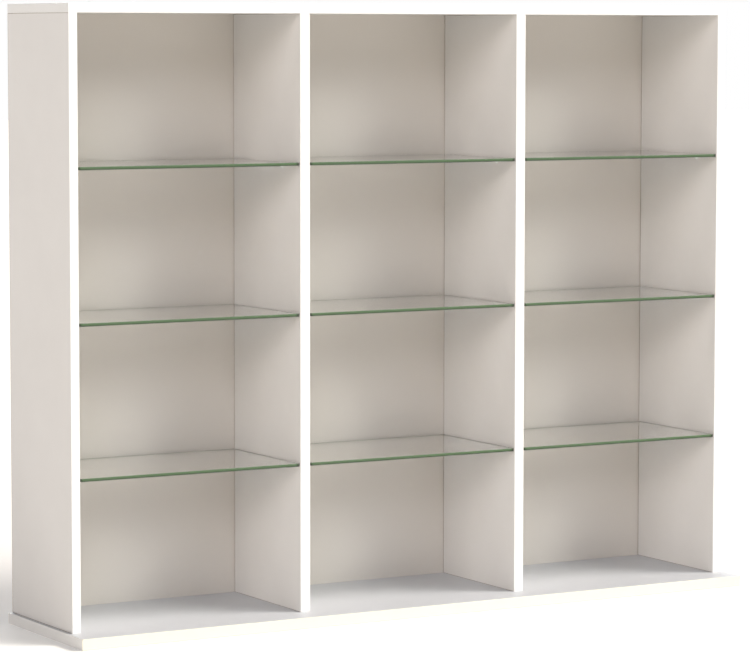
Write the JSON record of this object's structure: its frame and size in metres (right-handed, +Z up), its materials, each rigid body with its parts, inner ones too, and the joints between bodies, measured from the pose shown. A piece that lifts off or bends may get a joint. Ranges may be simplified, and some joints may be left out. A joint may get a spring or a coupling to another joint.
{
  "type": "open bookcase",
  "caption": "Low open bookcase: a white board carcass in three equal columns on a projecting base board, with loose glass shelves on pegs.",
  "frame": {"origin": "centre of the footprint, on the floor", "axes": "+Z up; +X along the width, to the right seen from the front; +Y to the back, so the open front faces -Y"},
  "size_m": [1.264, 0.288, 1.008],
  "materials": {
    "white_board": "satin white melamine on chipboard",
    "white_back": "matt white lacquer on hardboard",
    "edge_band": "satin",
    "clear_glass": "clear float glass, green at its ground edges",
    "clear_plastic": "clear to milky",
    "beech": "raw",
    "zinc_steel": "zinc plated",
    "cap_plastic": "matt"
  },
  "bodies": {
    "carcass": {"top_panel": "white_board", "left_side": "white_board", "partition_left": "white_board", "partition_right": "white_board", "right_side": "white_board", "base_board": "white_board", "back_panel_left": "white_back", "back_panel_middle": "white_back", "back_panel_right": "white_back", "top_front_edge_band": "edge_band", "top_left_edge_band": "edge_band", "top_right_edge_band": "edge_band", "base_front_edge_band": "edge_band", "base_left_edge_band": "edge_band", "base_right_edge_band": "edge_band", "left_side_edge_band": "edge_band", "partition_left_edge_band": "edge_band", "partition_right_edge_band": "edge_band", "right_side_edge_band": "edge_band", "top_dowels": "beech", "base_dowels": "beech", "top_screws": "zinc_steel", "base_screws": "zinc_steel", "screw_cover_caps": "cap_plastic", "back_nails": "zinc_steel", "shelf_pegs_left_1": "clear_plastic", "shelf_pegs_left_2": "clear_plastic", "shelf_pegs_left_3": "clear_plastic", "shelf_pegs_middle_1": "clear_plastic", "shelf_pegs_middle_2": "clear_plastic", "shelf_pegs_middle_3": "clear_plastic", "shelf_pegs_right_1": "clear_plastic", "shelf_pegs_right_2": "clear_plastic", "shelf_pegs_right_3": "clear_plastic"},
    "shelf_left_1": {"glass_shelf_left_1": "clear_glass"},
    "shelf_left_2": {"glass_shelf_left_2": "clear_glass"},
    "shelf_left_3": {"glass_shelf_left_3": "clear_glass"},
    "shelf_middle_1": {"glass_shelf_middle_1": "clear_glass"},
    "shelf_middle_2": {"glass_shelf_middle_2": "clear_glass"},
    "shelf_middle_3": {"glass_shelf_middle_3": "clear_glass"},
    "shelf_right_1": {"glass_shelf_right_1": "clear_glass"},
    "shelf_right_2": {"glass_shelf_right_2": "clear_glass"},
    "shelf_right_3": {"glass_shelf_right_3": "clear_glass"}
  },
  "joints": [
    {"name": "pull_shelf_left_1", "type": "slide", "parent": "carcass", "child": "shelf_left_1", "axis": [0, -1, 0], "range_m": [0, 0.24]},
    {"name": "pull_shelf_left_2", "type": "slide", "parent": "carcass", "child": "shelf_left_2", "axis": [0, -1, 0], "range_m": [0, 0.24]},
    {"name": "pull_shelf_left_3", "type": "slide", "parent": "carcass", "child": "shelf_left_3", "axis": [0, -1, 0], "range_m": [0, 0.24]},
    {"name": "pull_shelf_middle_1", "type": "slide", "parent": "carcass", "child": "shelf_middle_1", "axis": [0, -1, 0], "range_m": [0, 0.24]},
    {"name": "pull_shelf_middle_2", "type": "slide", "parent": "carcass", "child": "shelf_middle_2", "axis": [0, -1, 0], "range_m": [0, 0.24]},
    {"name": "pull_shelf_middle_3", "type": "slide", "parent": "carcass", "child": "shelf_middle_3", "axis": [0, -1, 0], "range_m": [0, 0.24]},
    {"name": "pull_shelf_right_1", "type": "slide", "parent": "carcass", "child": "shelf_right_1", "axis": [0, -1, 0], "range_m": [0, 0.24]},
    {"name": "pull_shelf_right_2", "type": "slide", "parent": "carcass", "child": "shelf_right_2", "axis": [0, -1, 0], "range_m": [0, 0.24]},
    {"name": "pull_shelf_right_3", "type": "slide", "parent": "carcass", "child": "shelf_right_3", "axis": [0, -1, 0], "range_m": [0, 0.24]}
  ]
}
